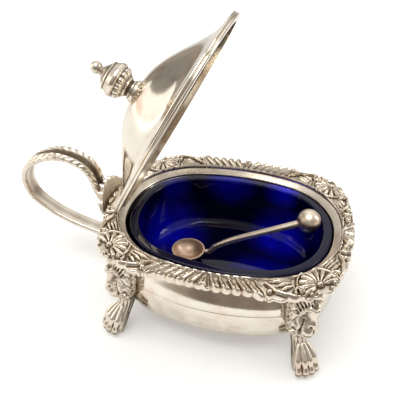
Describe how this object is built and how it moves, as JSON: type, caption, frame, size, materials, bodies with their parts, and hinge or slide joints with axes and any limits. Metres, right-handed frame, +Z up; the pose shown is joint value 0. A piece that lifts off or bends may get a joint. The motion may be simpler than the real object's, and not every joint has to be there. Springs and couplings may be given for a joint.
{
  "type": "mustard pot",
  "caption": "Oblong footed mustard pot with a hinged domed lid, urn finial, loop handle, shell and gadroon border, lion-mask feet, cobalt glass liner and a ball-ended spoon.",
  "frame": {"origin": "on the table, midway between the four feet", "axes": "+X along the pot to the free end, away from the handle; +Y to the back; +Z up"},
  "size_m": [0.1251, 0.0786, 0.1054],
  "materials": {
    "polished_silver": "polished, lightly worn",
    "chased_silver": "struck relief, dark in the hollows",
    "cobalt_glass": "clear deep blue",
    "gilt": "worn and tarnished"
  },
  "bodies": {
    "pot": {"body_shell": "polished_silver", "rim_collar": "polished_silver", "handle": "polished_silver", "hinge_body_leaf": "polished_silver", "hinge_pin": "polished_silver", "border_gadroon_front": "chased_silver", "border_gadroon_back": "chased_silver", "border_shell_front_left": "chased_silver", "border_shell_front_right": "chased_silver", "border_shell_back_left": "chased_silver", "border_shell_back_right": "chased_silver", "border_end_free": "chased_silver", "border_end_handle": "chased_silver", "lion_foot_front_left": "chased_silver", "lion_foot_front_right": "chased_silver", "lion_foot_back_left": "chased_silver", "lion_foot_back_right": "chased_silver", "handle_leaf": "chased_silver", "glass_liner": "cobalt_glass"},
    "lid": {"lid_dome": "polished_silver", "lid_rim": "polished_silver", "hinge_lid_leaf": "polished_silver", "finial": "polished_silver", "finial_nut": "polished_silver"},
    "spoon": {"spoon_bowl": "gilt", "spoon_stem": "polished_silver", "spoon_ball": "polished_silver"}
  },
  "joints": [
    {"name": "lid_hinge", "type": "hinge", "parent": "pot", "child": "lid", "pos_m": [-0.0385, 0, 0.0372], "axis": [0, -1, 0], "range_deg": [-62, 49]},
    {"name": "spoon_swing", "type": "hinge", "parent": "pot", "child": "spoon", "pos_m": [-0.01502, -0.0008, 0], "axis": [0, 0, 1], "range_deg": [-16, 1]}
  ]
}
